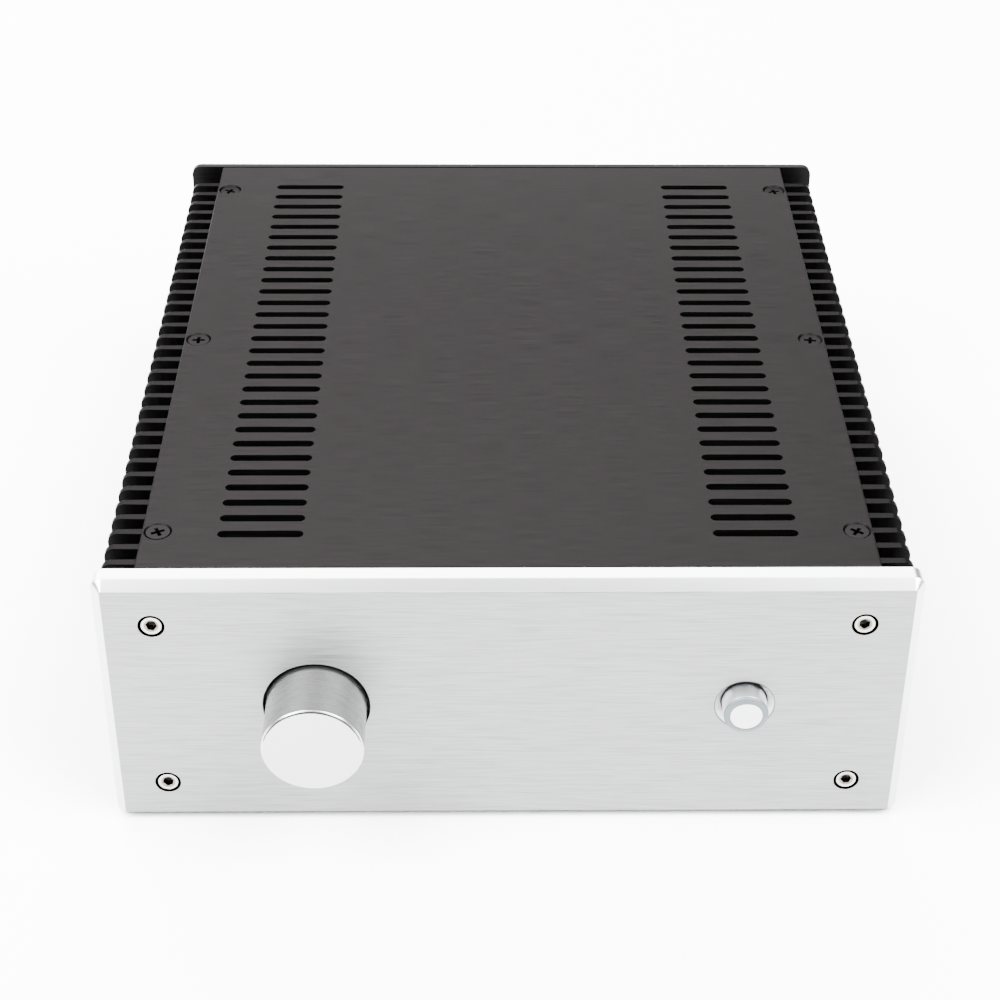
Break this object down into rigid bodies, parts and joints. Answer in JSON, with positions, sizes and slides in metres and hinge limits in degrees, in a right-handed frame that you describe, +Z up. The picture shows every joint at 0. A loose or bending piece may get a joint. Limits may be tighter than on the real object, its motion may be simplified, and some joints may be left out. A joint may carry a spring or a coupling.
{
  "type": "amplifier enclosure",
  "caption": "Aluminium audio amplifier enclosure with a thick bevelled front panel, finned heat-sink sides, a slotted cover, a volume knob, a power button and rear sockets.",
  "frame": {"origin": "middle of the case's footprint, on the plane that it rests on, at the base plate's underside", "axes": "+X to the right as seen from the front, +Y from the front panel to the rear panel, +Z up"},
  "size_m": [0.24, 0.3103, 0.09],
  "materials": {
    "silver_panel": "fine brushed grain from side to side, clear anodised, satin",
    "black_panel": "black anodised, satin",
    "black_cover": "black anodised over a fine brushed grain from side to side",
    "black_heatsink": "black anodised extrusion, satin",
    "steel_screw": "bright stainless",
    "black_screw": "black oxide",
    "turned_knob": "fine turned finish, clear anodised",
    "turned_button": "satin anodised",
    "frosted_ring": "frosted, faintly blue",
    "polished_disc": "bright satin",
    "steel_part": "plated",
    "tinned_tag": "tinned",
    "gold_plate": "gold plated",
    "black_plastic": "moulded, satin",
    "red_plastic": "moulded, satin",
    "white_plastic": "moulded, satin"
  },
  "bodies": {
    "case": {"front_panel": "silver_panel", "rear_panel": "black_panel", "top_cover": "black_cover", "base_plate": "black_cover", "left_heatsink": "black_heatsink", "right_heatsink": "black_heatsink", "front_screws": "steel_screw", "rear_screws": "black_screw", "cover_screws": "black_screw", "base_screws": "black_screw", "pot_body": "steel_part", "pot_washer": "steel_part", "pot_nut": "steel_part", "pot_terminals": "tinned_tag", "switch_body": "black_plastic", "switch_nut": "steel_part", "switch_bracket": "steel_part", "bracket_screws": "steel_screw", "switch_terminals": "tinned_tag", "inlet_housing": "black_plastic", "inlet_blades": "tinned_tag", "inlet_screws": "steel_screw", "inlet_nuts": "steel_part", "phono_upper_shell": "gold_plate", "phono_upper_insulator": "white_plastic", "phono_upper_core": "white_plastic", "phono_lower_shell": "gold_plate", "phono_lower_insulator": "red_plastic", "phono_lower_core": "red_plastic", "phono_washers": "black_plastic", "phono_nuts": "gold_plate", "post_washers": "black_plastic", "post_nuts": "gold_plate", "post_1_collar": "red_plastic", "post_1_stud": "gold_plate", "post_2_collar": "black_plastic", "post_2_stud": "gold_plate", "post_3_collar": "black_plastic", "post_3_stud": "gold_plate", "post_4_collar": "red_plastic", "post_4_stud": "gold_plate"},
    "volume_control": {"volume_knob": "turned_knob", "knob_set_screw": "black_screw", "pot_shaft": "steel_part"},
    "power_button": {"button_cap": "turned_button", "button_light_ring": "frosted_ring", "button_disc": "polished_disc", "button_stem": "steel_part"},
    "terminal_cap_1": {"post_1_cap": "red_plastic"},
    "terminal_cap_2": {"post_2_cap": "black_plastic"},
    "terminal_cap_3": {"post_3_cap": "black_plastic"},
    "terminal_cap_4": {"post_4_cap": "red_plastic"}
  },
  "joints": [
    {"name": "volume_turn", "type": "hinge", "parent": "case", "child": "volume_control", "pos_m": [-0.0569, -0.1355, 0.045], "axis": [0, 1, 0], "range_deg": [-150, 150]},
    {"name": "power_press", "type": "slide", "parent": "case", "child": "power_button", "axis": [0, 1, 0], "range_m": [0, 0.003], "stiffness_N_per_m": 1200, "springref_m": -0.001},
    {"name": "terminal_cap_1_turn", "type": "hinge", "parent": "case", "child": "terminal_cap_1", "pos_m": [0.022, 0.1355, 0.045], "axis": [0, 1, 0], "range_deg": [0, 720]},
    {"name": "terminal_cap_2_turn", "type": "hinge", "parent": "case", "child": "terminal_cap_2", "pos_m": [0.041, 0.1355, 0.045], "axis": [0, 1, 0], "range_deg": [0, 720]},
    {"name": "terminal_cap_3_turn", "type": "hinge", "parent": "case", "child": "terminal_cap_3", "pos_m": [0.061, 0.1355, 0.045], "axis": [0, 1, 0], "range_deg": [0, 720]},
    {"name": "terminal_cap_4_turn", "type": "hinge", "parent": "case", "child": "terminal_cap_4", "pos_m": [0.08, 0.1355, 0.045], "axis": [0, 1, 0], "range_deg": [0, 720]}
  ]
}
